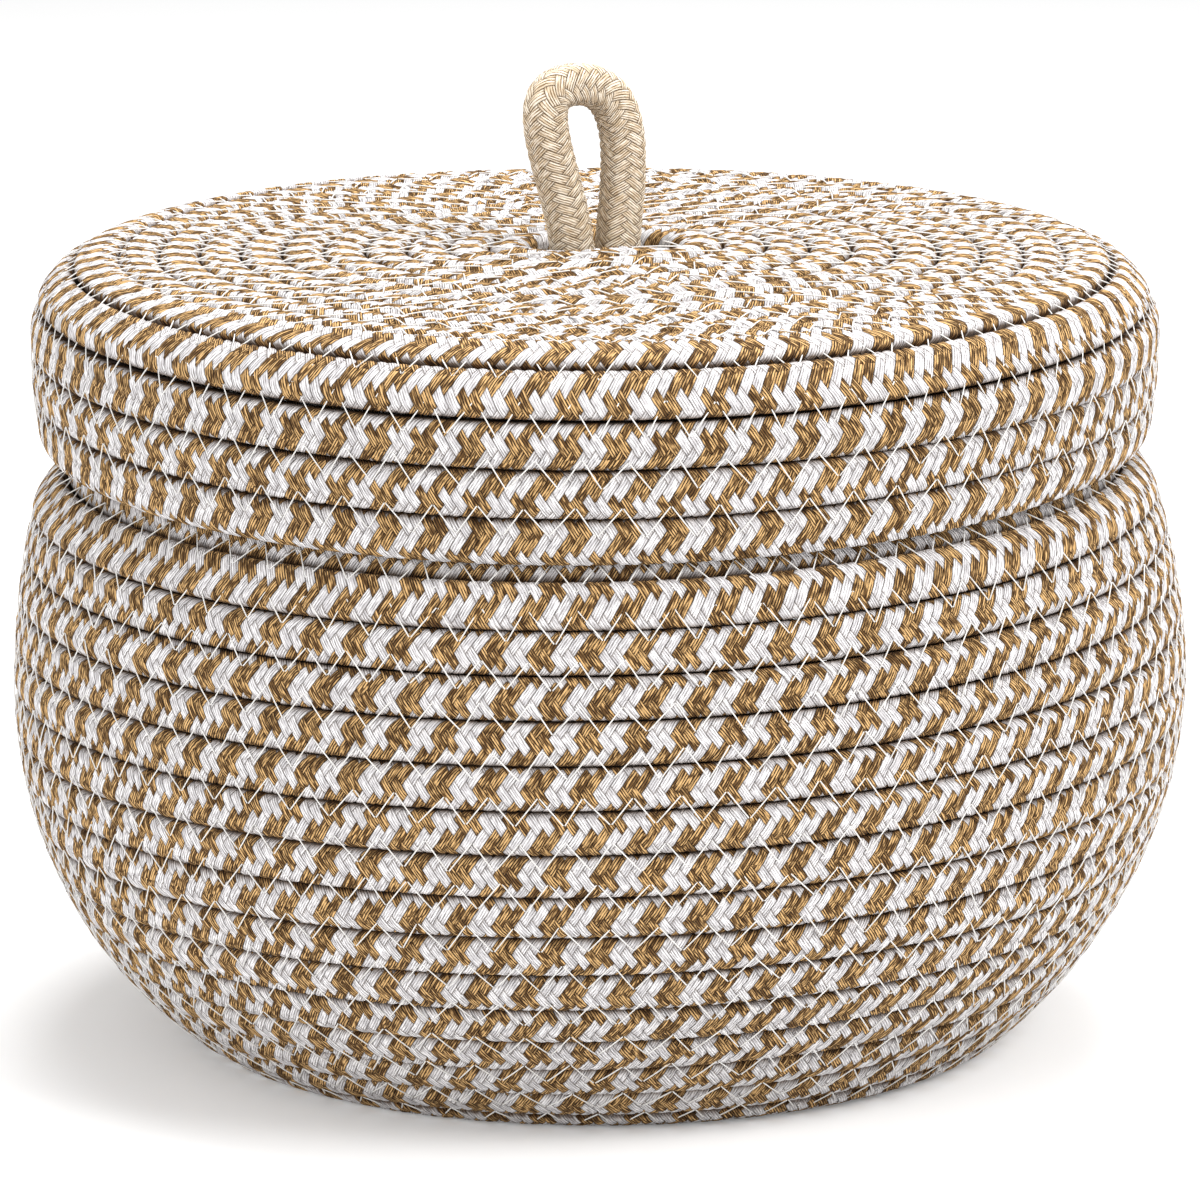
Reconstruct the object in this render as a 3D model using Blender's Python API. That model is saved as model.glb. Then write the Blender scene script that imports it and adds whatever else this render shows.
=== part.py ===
"""Lidded knitting basket of coiled cotton rope, with a cord loop on the lid.

A Blender 4.5 script. Units are metres, +Z is up and the photographed front faces -Y.
The basket is one rope coiled from the middle of its base up to its rim.
The lid is a second rope coiled from its middle hole down to the lower edge of its skirt.
"""
import math

import bpy
from mathutils import Vector
from mathutils.kdtree import KDTree

# Rope and its rows
ROPE_DIAMETER = 0.0087      # across the rope, drawn in a little so that rows keep a gap
ROW_PITCH = 0.0100          # middle of one row to the middle of the next
END_GAP = 0.0003            # between pieces that meet
FLAT_DEPTH = 0.0005         # how much of the base is cut flat where it stands

# Basket outline: where its rope starts, then arcs as (length, heading at start, heading at end)
# A heading of 0 degrees runs outward along the floor and 90 degrees runs straight up.
BASKET_START_RADIUS = 0.008
BASKET_ARCS = (
    (0.0830, 0, 0),
    (0.0100, 0, 40),
    (0.0960, 40, 93),
    (0.0370, 93, 105),
    (0.0093, 105, 145.5),
    (0.0120, 145.5, 98),
    (0.0235, 98, 93),
)
FOOT_RUN = 0.0880           # rope rows are counted from here, the row that shows on the floor

# Lid outline, read outward and down from its middle hole
LID_START_RADIUS = 0.0124
LID_MIDDLE_HEIGHT = 0.1870
LID_ARCS = (
    (0.1046, -1.1, -1.1),
    (0.0210, -1.1, -88),
    (0.0120, -88, -94),
    (0.0150, -94, -103),
)
LID_RUN = 0.1492            # from the first arc's start to the lid's lowest row
LID_ROW_PITCH = 0.01016     # its rows lie a touch wider apart than the basket's
LID_TURNS = 14.25           # of the lid's rope, which starts at the right of the handle
SKIRT_DROP = 0.0015         # how far the lowest row is drawn down
SKIRT_DROP_RUN = 0.0200     # run over which that spreads the rows above it
HOLE_SQUEEZE = 0.0076       # how much narrower the middle hole is across the handle's legs
SQUEEZE_RUN = 0.0800        # rows over which that oval turns round

# The rows bow: at the two sides they lie higher on the outline than at the front and back
LID_SIDE_LIFT = 0.0037      # at the lid's lowest row
BASKET_SIDE_LIFT = 0.0030   # at the neck
BASKET_LIFT_START = 0.1500  # run from which the basket's rows begin to bow
BASKET_LIFT_RUN = 0.0800    # run over which the bow grows

# The lid lies higher at its back, and sits with the neck a little to one side
LID_BACK_LIFT = 0.0025      # back of its flat part above the front
TOP_SHIFT = -0.0012         # towards +X
SHIFT_START = 0.1900        # run from which the basket's rows begin to shift
SHIFT_RUN = 0.0400          # run over which the shift grows

# Turns, counted from the row that shows lowest at the front
WALL_FIRST_TURN = -0.47     # pieces of one rope meet between two points of the coil
MIDDLE_WALL_FIRST_TURN = 5.528
UPPER_WALL_FIRST_TURN = 10.528
NECK_FIRST_TURN = 15.305
RIM_LAST_TURN = 18.325
LID_SKIRT_FIRST_TURN = -4.47
LID_LAST_TURN = 0.325
LEVEL_TURNS = 14.0          # turns over which a plain spiral becomes level rows
CLIMB_SHARE = 0.35          # share of a level row in which it climbs to the next
BACK_SHARE = 0.5            # share of a turn at the middle of that climb
FRONT_ANGLE = -90.0         # degrees round from +X

# Counts of the coil's points
TURN_POINTS = 18
MIDDLE_TURN_POINTS = 9
MIDDLE_TURNS = 5.5
LEAST_STEP_SHARE = 0.3      # of a step, between a coil's end and the point next to it
NEAR_ROWS = 1.5             # rows within which two stretches of rope are neighbours
TUBE_RESOLUTION = 1

# Handle: a plain cord bent to a loop, through the middle hole and knotted beneath
CORD_DIAMETER = 0.0100
HANDLE_ANGLE = 28.0         # degrees that the loop is turned from the front
FOOT_SPACING = 0.0122       # between the middles of the two legs in the hole
LOOP_BULGE = 0.0180         # pulls the loop's shoulders out
LOOP_WAIST = 0.0160         # height to which the legs stay close
LOOP_HEIGHT = 0.0418        # middle of the cord at the top, above the lid's middle rows
LOOP_LEAN = 0.0049          # how far the top leans towards -X
LOOP_POINTS = 12
CORD_RESOLUTION = 3
KNOT_RADIUS = 0.0150
KNOT_HEIGHT = 0.0170
KNOT_SEGMENTS = 24
KNOT_RINGS = 12
TAIL_LENGTH = 0.0170
TAIL_SPREAD = 0.0070
TAIL_SPACING = 0.0120

# Colours, as linear red, green and blue
MIXED_ROPE_COLOUR = (0.62, 0.47, 0.30)
CORD_COLOUR = (0.72, 0.58, 0.42)
ROPE_ROUGHNESS = 0.95

ROPE_RADIUS = ROPE_DIAMETER / 2
CORD_RADIUS = CORD_DIAMETER / 2
LID_FLAT_RADIUS = LID_START_RADIUS + LID_ARCS[0][0]
BASE_HEIGHT = ROPE_RADIUS * math.cos(math.pi / 6) - FLAT_DEPTH


def clear_scene():
    for thing in list(bpy.data.objects):
        bpy.data.objects.remove(thing, do_unlink=True)


def new_collection(name):
    collection = bpy.data.collections.new(name)
    bpy.context.scene.collection.children.link(collection)
    return collection


def new_material(name, colour):
    material = bpy.data.materials.new(name)
    material.use_nodes = True
    shader = material.node_tree.nodes["Principled BSDF"]
    shader.inputs["Base Color"].default_value = (*colour, 1.0)
    shader.inputs["Roughness"].default_value = ROPE_ROUGHNESS
    shader.inputs["Metallic"].default_value = 0.0
    return material


def walk(start_radius, start_height, arcs, run):
    """Radius, height and heading after a run along the outline's arcs."""
    radius, height, heading = start_radius, start_height, math.radians(arcs[0][1])
    for length, first, last in arcs:
        step = min(run, length)
        if step <= 0:
            break
        before = math.radians(first)
        bend = math.radians(last - first) / length
        heading = before + bend * step
        if bend:
            radius += (math.sin(heading) - math.sin(before)) / bend
            height -= (math.cos(heading) - math.cos(before)) / bend
        else:
            radius += step * math.cos(before)
            height += step * math.sin(before)
        run -= step
    return radius, height, heading


def level_rows(turn, spiral_until):
    """Rows passed at a turn: a plain spiral first, then level rows that climb at the back."""
    row = math.floor(turn)
    share = turn - row
    blend = min(max((turn - spiral_until) / LEVEL_TURNS, 0.0), 1.0)
    climb = min(max((share - BACK_SHARE) / CLIMB_SHARE + BACK_SHARE, 0.0), 1.0)
    return row + (1 - blend) * share + blend * climb


def basket_point(turn):
    """A place on the middle of the basket's rope and the way its next row lies."""
    rows = level_rows(turn, 0.0)
    angle = math.radians(FRONT_ANGLE) + turn * math.tau
    run = FOOT_RUN + rows * ROW_PITCH
    bow = min(max((run - BASKET_LIFT_START) / BASKET_LIFT_RUN, 0.0), 1.0)
    run += BASKET_SIDE_LIFT * bow * math.cos(angle) ** 2
    shift = TOP_SHIFT * min(max((run - SHIFT_START) / SHIFT_RUN, 0.0), 1.0)
    radius, height, heading = walk(BASKET_START_RADIUS, BASE_HEIGHT, BASKET_ARCS, run)
    return Vector((radius * math.cos(angle) + shift, radius * math.sin(angle), height, heading))


def lid_point(turn):
    """The same for the lid's rope, which winds the other way round."""
    rows = level_rows(turn, -LID_TURNS)
    angle = math.radians(FRONT_ANGLE) - turn * math.tau
    run = LID_RUN + rows * LID_ROW_PITCH
    oval = HOLE_SQUEEZE * max(1 - run / SQUEEZE_RUN, 0.0)
    run += SKIRT_DROP * max(1 - (LID_RUN - run) / SKIRT_DROP_RUN, 0.0)
    run *= 1 - LID_SIDE_LIFT / LID_RUN * math.cos(angle) ** 2
    radius, height, heading = walk(LID_START_RADIUS, LID_MIDDLE_HEIGHT, LID_ARCS, run)
    radius -= oval * math.sin(angle - math.radians(HANDLE_ANGLE)) ** 2
    across, back = radius * math.cos(angle), radius * math.sin(angle)
    height += LID_BACK_LIFT / 2 * back / LID_FLAT_RADIUS
    return Vector((across + TOP_SHIFT, back, height, -heading))


def coil_turns(first, last, coarse_until):
    """Turns at which a coil has its points, in step from row to row."""
    turns = [first]
    step_count = math.floor(first * TURN_POINTS) + 1
    while step_count / TURN_POINTS < last:
        turn = step_count / TURN_POINTS
        skip = TURN_POINTS // MIDDLE_TURN_POINTS
        far_enough = min(turn - turns[0], last - turn) * TURN_POINTS > LEAST_STEP_SHARE
        if far_enough and (turn >= coarse_until or step_count % skip == 0):
            turns.append(turn)
        step_count += 1
    turns.append(last)
    return turns


def curve_tube(name, points, radius, resolution, material, collection):
    """A closed round tube along a list of points, turned round its middle line by their fourth value."""
    data = bpy.data.curves.new(name, "CURVE")
    data.dimensions = "3D"
    data.twist_mode = "Z_UP"
    data.bevel_depth = radius
    data.bevel_resolution = resolution
    data.use_fill_caps = True
    spline = data.splines.new("POLY")
    spline.points.add(len(points) - 1)
    for place, point in zip(spline.points, points):
        place.co = (point.x, point.y, point.z, 1.0)
        place.tilt = point.w if len(point) == 4 else 0.0
    tube = bpy.data.objects.new(name, data)
    data.materials.append(material)
    collection.objects.link(tube)
    return tube


def chord_point(place_at, turn):
    """A point on the straight stretch between the coil's points on either side of a turn."""
    before = math.floor(turn * TURN_POINTS)
    share = turn * TURN_POINTS - before
    return place_at(before / TURN_POINTS).lerp(place_at((before + 1) / TURN_POINTS), share)


def rope_coil(name, place_at, first, last, coarse_until, material, collection):
    points = [chord_point(place_at, turn) for turn in coil_turns(first, last, coarse_until)]
    return curve_tube(name, points, ROPE_RADIUS, TUBE_RESOLUTION, material, collection)


def shorten(place_at, turn, towards):
    """The turn that lies half an end gap back along the rope."""
    step = math.copysign(END_GAP / 2, towards)
    radius = place_at(turn).to_2d().length
    return turn + step / (math.tau * radius)


def make_basket_base(material, collection):
    first = -FOOT_RUN / ROW_PITCH
    last = shorten(basket_point, WALL_FIRST_TURN, -1)
    return rope_coil("basket_base", basket_point, first, last, first + MIDDLE_TURNS, material, collection)


def make_basket_wall(name, start, end, material, collection):
    """The rows of the wall from one meeting of the rope's pieces to the next."""
    first = shorten(basket_point, start, 1)
    last = shorten(basket_point, end, -1)
    return rope_coil(name, basket_point, first, last, first, material, collection)


def make_basket_neck(material, collection):
    first = shorten(basket_point, NECK_FIRST_TURN, 1)
    return rope_coil("basket_neck", basket_point, first, RIM_LAST_TURN, first, material, collection)


def make_lid_top(material, collection):
    first = -LID_TURNS
    last = shorten(lid_point, LID_SKIRT_FIRST_TURN, -1)
    return rope_coil("lid_top", lid_point, first, last, first, material, collection)


def make_lid_skirt(material, collection):
    first = shorten(lid_point, LID_SKIRT_FIRST_TURN, 1)
    return rope_coil("lid_skirt", lid_point, first, LID_LAST_TURN, first, material, collection)


def move_to(thing, collection):
    for home in list(thing.users_collection):
        home.objects.unlink(thing)
    collection.objects.link(thing)


def make_cutter(thing, cutters):
    """Keeps a solid that only shapes another one."""
    move_to(thing, cutters)
    thing.display_type = "WIRE"
    thing.hide_render = True


def curve_to_mesh(node, collection):
    """Swaps a curve for the same shape as a mesh, because a Boolean cuts only meshes."""
    bpy.context.view_layer.update()
    name = node.name
    shape = bpy.data.meshes.new_from_object(node.evaluated_get(bpy.context.evaluated_depsgraph_get()))
    curve = node.data
    bpy.data.objects.remove(node, do_unlink=True)
    bpy.data.curves.remove(curve)
    shape.name = name
    solid = bpy.data.objects.new(name, shape)
    collection.objects.link(solid)
    return solid


def cut_flat_foot(node, collection, cutters):
    """Cuts a coil flat at the floor."""
    solid = curve_to_mesh(node, collection)
    reach = BASKET_START_RADIUS + sum(length for length, first, last in BASKET_ARCS)
    bpy.ops.mesh.primitive_cube_add(size=reach * 2, location=(0, 0, -reach))
    cutter = bpy.context.object
    cutter.name = solid.name + "_floor_cutter"
    make_cutter(cutter, cutters)
    cut = solid.modifiers.new("flat_foot", "BOOLEAN")
    cut.operation = "DIFFERENCE"
    cut.solver = "EXACT"
    cut.object = cutter
    return solid


def loop_point(share):
    """A point on the loop's middle line, from the foot at -X over the top to the foot at +X."""
    side = -1 if share < 0.5 else 1
    rise = 1 - abs(2 * share - 1)
    foot = Vector((FOOT_SPACING / 2, 0.0))
    waist = Vector((FOOT_SPACING / 2, LOOP_WAIST))
    shoulder = Vector((LOOP_BULGE, LOOP_HEIGHT))
    top = Vector((0.0, LOOP_HEIGHT))
    fall = 1 - rise
    across, up = (foot * fall ** 3 + waist * 3 * rise * fall ** 2
                  + shoulder * 3 * rise ** 2 * fall + top * rise ** 3)
    turned = math.radians(HANDLE_ANGLE)
    lean = LOOP_LEAN * (up / LOOP_HEIGHT) ** 2
    return Vector((
        TOP_SHIFT + side * across * math.cos(turned) - lean,
        side * across * math.sin(turned),
        LID_MIDDLE_HEIGHT + up,
    ))


def make_handle_loop(material, collection):
    shares = [index / (2 * LOOP_POINTS) for index in range(2 * LOOP_POINTS + 1)]
    points = [loop_point(share) for share in shares]
    below = Vector((0, 0, ROPE_RADIUS))
    points = [points[0] - below, *points, points[-1] - below]
    return curve_tube("handle_loop", points, CORD_RADIUS, CORD_RESOLUTION, material, collection)


def make_knot_tail(name, side, knot_middle, cutters):
    turned = math.radians(HANDLE_ANGLE)
    along = Vector((math.cos(turned), math.sin(turned), 0)) * side
    run = along * TAIL_SPREAD - Vector((0, 0, TAIL_LENGTH))
    bpy.ops.mesh.primitive_cylinder_add(
        vertices=KNOT_SEGMENTS, radius=CORD_RADIUS, depth=run.length,
        location=knot_middle + along * TAIL_SPACING / 2 + run / 2,
        rotation=run.to_track_quat("Z", "Y").to_euler())
    tail = bpy.context.object
    tail.name = name
    make_cutter(tail, cutters)
    return tail


def make_handle_knot(material, collection, cutters):
    """The knot that holds the loop, with its two short tails, as one solid."""
    knot_top = LID_MIDDLE_HEIGHT - ROPE_RADIUS - END_GAP
    knot_middle = Vector((TOP_SHIFT, 0, knot_top - KNOT_HEIGHT / 2))
    bpy.ops.mesh.primitive_uv_sphere_add(
        segments=KNOT_SEGMENTS, ring_count=KNOT_RINGS, radius=KNOT_RADIUS, location=knot_middle)
    knot = bpy.context.object
    knot.name = "handle_knot"
    knot.scale = (1.0, 1.0, KNOT_HEIGHT / (2 * KNOT_RADIUS))
    knot.data.materials.append(material)
    move_to(knot, collection)
    for side, name in ((-1, "knot_tail_left"), (1, "knot_tail_right")):
        join = knot.modifiers.new(name, "BOOLEAN")
        join.operation = "UNION"
        join.solver = "EXACT"
        join.object = make_knot_tail(name, side, knot_middle, cutters)
    return knot


def make_lid_axis(nodes, collection):
    """The empty that the lid's pieces hang on, on the line along which the lid lifts."""
    axis = bpy.data.objects.new("lid_axis", None)
    axis.location = (0, 0, LID_MIDDLE_HEIGHT)
    collection.objects.link(axis)
    bpy.context.view_layer.update()
    for node in nodes:
        node.parent = axis
        node.matrix_parent_inverse = axis.matrix_world.inverted()
    return axis


def least_self_gap(place_at, first, last):
    """Least gap between a rope's rows, measured on close points of its middle line."""
    points = [place_at(turn).to_3d() for turn in coil_turns(first, last, first)]
    fine = []
    for start, end in zip(points, points[1:]):
        for part in range(MIDDLE_TURN_POINTS):
            fine.append(start.lerp(end, part / MIDDLE_TURN_POINTS))
    tree = KDTree(len(fine))
    for index, point in enumerate(fine):
        tree.insert(point, index)
    tree.balance()
    half_turn = TURN_POINTS * MIDDLE_TURN_POINTS // 2
    least = math.inf
    for index, point in enumerate(fine):
        for other, other_index, distance in tree.find_range(point, ROW_PITCH * NEAR_ROWS):
            if abs(other_index - index) > half_turn:
                least = min(least, distance)
    return least - ROPE_DIAMETER


def build():
    clear_scene()
    basket = new_collection("knitting_basket")
    cutters = new_collection("knitting_basket_cutters")
    base_rope = new_material("base_rope", MIXED_ROPE_COLOUR)
    lower_wall_rope = new_material("lower_wall_rope", MIXED_ROPE_COLOUR)
    middle_wall_rope = new_material("middle_wall_rope", MIXED_ROPE_COLOUR)
    upper_wall_rope = new_material("upper_wall_rope", MIXED_ROPE_COLOUR)
    neck_rope = new_material("neck_rope", MIXED_ROPE_COLOUR)
    lid_top_rope = new_material("lid_top_rope", MIXED_ROPE_COLOUR)
    lid_skirt_rope = new_material("lid_skirt_rope", MIXED_ROPE_COLOUR)
    loop_cord = new_material("loop_cord", CORD_COLOUR)
    knot_cord = new_material("knot_cord", CORD_COLOUR)

    cut_flat_foot(make_basket_base(base_rope, basket), basket, cutters)
    lower_wall = make_basket_wall(
        "basket_wall_lower", WALL_FIRST_TURN, MIDDLE_WALL_FIRST_TURN, lower_wall_rope, basket)
    cut_flat_foot(lower_wall, basket, cutters)
    make_basket_wall(
        "basket_wall_middle", MIDDLE_WALL_FIRST_TURN, UPPER_WALL_FIRST_TURN, middle_wall_rope, basket)
    make_basket_wall(
        "basket_wall_upper", UPPER_WALL_FIRST_TURN, NECK_FIRST_TURN, upper_wall_rope, basket)
    make_basket_neck(neck_rope, basket)
    lid_nodes = (
        make_lid_top(lid_top_rope, basket),
        make_lid_skirt(lid_skirt_rope, basket),
        make_handle_loop(loop_cord, basket),
        make_handle_knot(knot_cord, basket, cutters),
    )
    make_lid_axis(lid_nodes, basket)

    basket_gap = least_self_gap(basket_point, -FOOT_RUN / ROW_PITCH, RIM_LAST_TURN)
    lid_gap = least_self_gap(lid_point, -LID_TURNS, LID_LAST_TURN)
    print("least gap of the basket's rope to itself, mm:", round(basket_gap * 1000, 2))
    print("least gap of the lid's rope to itself, mm:", round(lid_gap * 1000, 2))


build()
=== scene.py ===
"""Looks of the lidded knitting basket: braided ropes, their sewing threads and the lid's cord loop.

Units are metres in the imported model's frame, +Z up, with the photographed front facing -Y.
Each rope follows the route that its solid follows, and wears a braid of sixteen strands as real relief.
"""
import math

import bpy
import numpy as np
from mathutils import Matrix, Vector


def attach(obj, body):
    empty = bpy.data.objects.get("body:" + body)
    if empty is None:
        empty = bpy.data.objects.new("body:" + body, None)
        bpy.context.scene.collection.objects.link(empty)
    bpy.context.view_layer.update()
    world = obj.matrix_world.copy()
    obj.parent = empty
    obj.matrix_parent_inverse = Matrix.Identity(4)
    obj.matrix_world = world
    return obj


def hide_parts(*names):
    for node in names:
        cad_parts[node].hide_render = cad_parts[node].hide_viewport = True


# The ropes' routes, as the solids have them
SOLID_ROPE_RADIUS = 0.00435
ROW_PITCH = 0.0100
FLAT_DEPTH = 0.0005
BASE_HEIGHT = SOLID_ROPE_RADIUS * math.cos(math.pi / 6) - FLAT_DEPTH
BASKET_START_RADIUS = 0.008
BASKET_ARCS = (
    (0.0830, 0, 0),
    (0.0100, 0, 40),
    (0.0960, 40, 93),
    (0.0370, 93, 105),
    (0.0093, 105, 145.5),
    (0.0120, 145.5, 98),
    (0.0235, 98, 93),
)
FOOT_RUN = 0.0880
LID_START_RADIUS = 0.0124
LID_MIDDLE_HEIGHT = 0.1870
LID_ARCS = (
    (0.1046, -1.1, -1.1),
    (0.0210, -1.1, -88),
    (0.0120, -88, -94),
    (0.0150, -94, -103),
)
LID_RUN = 0.1492
LID_ROW_PITCH = 0.01016
LID_TURNS = 14.25
SKIRT_DROP = 0.0015
SKIRT_DROP_RUN = 0.0200
HOLE_SQUEEZE = 0.0076
SQUEEZE_RUN = 0.0800
LID_SIDE_LIFT = 0.0037
BASKET_SIDE_LIFT = 0.0030
BASKET_LIFT_START = 0.1500
BASKET_LIFT_RUN = 0.0800
LID_BACK_LIFT = 0.0025
TOP_SHIFT = -0.0012
SHIFT_START = 0.1900
SHIFT_RUN = 0.0400
WALL_FIRST_TURN = -0.47
MIDDLE_WALL_FIRST_TURN = 5.528
UPPER_WALL_FIRST_TURN = 10.528
NECK_FIRST_TURN = 15.305
RIM_LAST_TURN = 18.325
LID_SKIRT_FIRST_TURN = -4.47
LID_LAST_TURN = 0.325
LEVEL_TURNS = 14.0
CLIMB_SHARE = 0.35
BACK_SHARE = 0.5
FRONT_ANGLE = -90.0
BEND_EASE = 0.008           # run over which one arc's bend becomes the next one's
ROW_TILT = 0.016            # rise of the body's rows towards +X, over what their coil gives
TILT_FROM = 0.030           # height over which that tilt comes in, and goes again
TILT_UNTIL = 0.165
LID_TILT = 0.010            # the same for the lid's lower rows
LID_TILT_HEIGHT = 0.178     # under which it comes in
LID_FLAT_RADIUS = LID_START_RADIUS + LID_ARCS[0][0]

# The handle's route, as the solids have it
CORD_RADIUS = 0.0050
HANDLE_ANGLE = 28.0
FOOT_SPACING = 0.0122
LOOP_BULGE = 0.0180
LOOP_WAIST = 0.0160
LOOP_HEIGHT = 0.0418
LOOP_LEAN = 0.0049
END_GAP = 0.0003
KNOT_TOP = LID_MIDDLE_HEIGHT - SOLID_ROPE_RADIUS - END_GAP
KNOT_HEIGHT = 0.0170
TAIL_LENGTH = 0.0170
TAIL_SPREAD = 0.0070
TAIL_SPACING = 0.0120
KNOT_CORD_RADIUS = 0.0042   # the cord is pulled tight in its knot
KNOT_REACH = 0.0112         # from the knot's middle to its wound cord, along the legs
KNOT_DEPTH = 0.0088         # and across them
KNOT_STEPS = 12             # of the winding in each turn
KNOT_TURNS = 2
KNOT_START = 0.9            # angle at which the winding starts
LOOP_STEPS = 400
CORD_ROLL_START = 0.02      # turns
CORD_ROLL = 0.6             # turns in a metre
LINE_PARTS = 24             # of a smooth line, from one given point to the next
KNOT_SIDE = (0.0, 1.0, 0.2)             # a direction that the knot's cords never run along
LEG_DROPS = (0.0, 0.005, 0.010)         # of the straight leg's points under the knot's top
WINDING_ENTRY = (0.0068, 0.003, 0.0026) # where the other leg turns off: along, across and down
WINDING_EXIT = (0.0085, 0.004, KNOT_HEIGHT - 0.003)
TAIL_ROOT = 0.002           # how deep a tail starts within the knot
TAIL_SHARES = (0.0, 0.35, 0.7, 1.0)     # of its length
TAIL_POWER = 1.5            # how late a tail spreads
TAIL_SWAY = 0.0012
TAIL_SWAY_PACE = 4
FRAY_STRANDS = 26           # at a cut end
FRAY_LENGTH = 0.0070
FRAY_RADIUS = 0.00028
FRAY_STEPS = 9
FRAY_FROM = 5               # steps back from a cord's end, to read its direction
FRAY_SIDE = (0.0, 1.0, 0.3)
FRAY_TURN = 2.4             # angle from one loose strand to the next
FRAY_REACH_SHARE = 0.8      # of the cord's radius
FRAY_ROOT = 0.001           # how deep the loose strands start within the cord
FRAY_SHORT_SHARE = 0.25     # by how much their length varies
FRAY_SPREAD_SHARE = 0.9
FRAY_BOW = 0.0012
FRAY_PACES = (3.7, 1.9)     # from strand to strand, of the length and of the bow

# The braid: eight strands each way round, of which four in a row make one repeat of the colours
STRANDS = 8
FLOAT = 2                   # strands that a strand passes over, and then under
LEAD = 0.0210               # length in which a strand goes once round the rope
STRAND_STEPS = 2            # mesh steps across half a strand's spacing
COLOUR_LAG = 2              # strands by which the colours one way round lag behind the other way's
ROPE_HALF_WIDTH = 0.00520   # along the wall, before neighbours press it flat
ROPE_HALF_THICKNESS = 0.0043
ROPE_SQUARENESS = 2.8
SECTION_STEPS = 721         # points round a section, to space its strands evenly
PRESSED_HALF_WIDTH = 0.00484
STRAND_SWELL = 0.00024      # how far a strand rises and dips as it crosses the others
STRAND_FLATNESS = 0.6       # 1 for a rounded rise, and less for a flat one with straight ends
STRAND_ROUNDING = 0.00024   # from a strand's crown down to its edge
STRAND_EDGE_POWER = 4       # how late across a strand its edge falls away
END_TAPER = 0.014           # length over which a rope's end is drawn in
END_SHARE = 0.45            # of its thickness that is left at the very end
PIECE_LENGTH = 0.80         # the longest stretch of rope in one mesh
YARNS = 4                   # side by side in a strand
ROLL = 0.11                 # turns that a rope rolls about its middle line in a metre
ROLL_WAVES = ((0.05, 7.3, 9), (0.035, 17.9, 5))     # turns, radians a metre, and start by seed
ROUTE_STEPS = 720           # in a turn, to measure a route's length
SMALL_TURN = 1e-4           # to read a route's direction
BASKET_SEED = 0.13
LID_SEED = 0.37

# The map on which each skin lies flat, in strips one above another
BAKE_MAP = "OFBake"
MAP_FILL = 0.97             # share of the map and of each strip that holds skin
STRIP_STRETCH = 0.67        # a ring's step along a rope over a column's step round it
THREAD_STRETCH = 7.0        # the same for the sewing thread
CAP_SHARES = (0.3, 0.7)     # of the map's height, at which a tube's two end caps lie

# The sewing thread: a zigzag over the line between two rows
THREAD_RADIUS = 0.00016
THREAD_SIDES = 6
STITCH_LENGTH = 0.0104      # from one hole in a row to the next hole in that row
STITCH_REACH = 0.0032       # from the line between the rows to a hole
STITCH_DRIFT = 0.0010       # how far a line of stitches wanders off the line between the rows
STITCH_HEIGHT = 0.00438     # of the thread over the rows' middle lines
HOLE_DEPTH = 0.0012
STITCH_UNEVENNESS = 0.0007  # of the holes' places along a row
HOLE_UNEVENNESS = 0.0005    # and across it
DRIFT_WAVES = ((7.1, 1.0), (2.9, 0.6))      # radians a metre, and share of the drift
THREAD_BEND = 0.0004        # from a hole to where the thread is straight
THREAD_BULGE = 0.00012      # of the thread over the line between two holes
STITCH_SEED = 7

# Cotton: each one's low colour, high colour and the painted shade in the grooves between its yarns
WHITE_COTTON = ((0.62, 0.60, 0.61), (0.93, 0.91, 0.915), (0.34, 0.31, 0.30))
TAN_COTTON = ((0.120, 0.060, 0.018), (0.74, 0.46, 0.195), (0.030, 0.012, 0.004))
BEIGE_COTTON = ((0.71, 0.57, 0.40), (0.97, 0.87, 0.72), (0.30, 0.18, 0.085))
WHITE_YARN_SHARE = 0.55     # how far the painted shade between the yarns shows
TAN_YARN_SHARE = 1.0
BEIGE_YARN_SHARE = 0.8
THREAD_COLOURS = ((0.70, 0.68, 0.65), (0.84, 0.83, 0.81))
LOOSE_COLOURS = ((0.62, 0.50, 0.36), (0.84, 0.74, 0.60))
PAINTED_SHADE_COLOUR = (0.22, 0.15, 0.10)       # painted shade, by which seams, creases and gaps are multiplied
COTTON_ROUGHNESS = 0.95
COTTON_SHEEN = 0.25
THREAD_ROUGHNESS = 0.8
THREAD_GRAIN = 900.0

# How the braid strays, in strands, and the noises' scales across, along and from strand to strand
STRAND_STRAY = 0.14
STRAY_SCALE = 0.7
STRAY_SLICES = (3.1, 8.3)
YARN_STRAY = 0.3            # in yarns
YARN_WANDER = ((1.5, 0.6, 3.7), 2.0)        # here and below, the last number is the noise's detail
VALLEY_STRENGTH = ((0.9, 1.1, 1.9), 1.0)
YARN_TONE = ((5.3, 0.9, 2.9), 1.0)
FIBRE_TONE = ((11.0, 1.0, 1.3), 2.0)
FLECK_TONE = ((6.0, 1.6, 2.1), 2.0)
FIBRE_CONTRAST = 4.0
YARN_CONTRAST = 5.0
FLECK_CONTRAST = 1.2
VALLEY_POWER = 2.5          # how narrow the line between two yarns is
VALLEY_FROM = 0.16
VALLEY_CONTRAST = 3.4
SEAM_POWER = 10             # the same for a strand's edges and ends
GAP_POWER = 9               # and for the gap from row to row
# painted shade: how far the colour darkens in a strand's edges, at its float ends and in the gap between
# rows
EDGE_SHADE = 0.50
CREASE_SHADE = 0.62
GAP_SHADE = 0.94
BUMP_DEPTH = 0.00030
FIBRE_BUMP = 0.5
VALLEY_BUMP = 0.6
SEAM_BUMP = 0.8
SAFE_SHARE = 0.1            # of a strand, so that a whole number's remainder never rounds over

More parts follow.
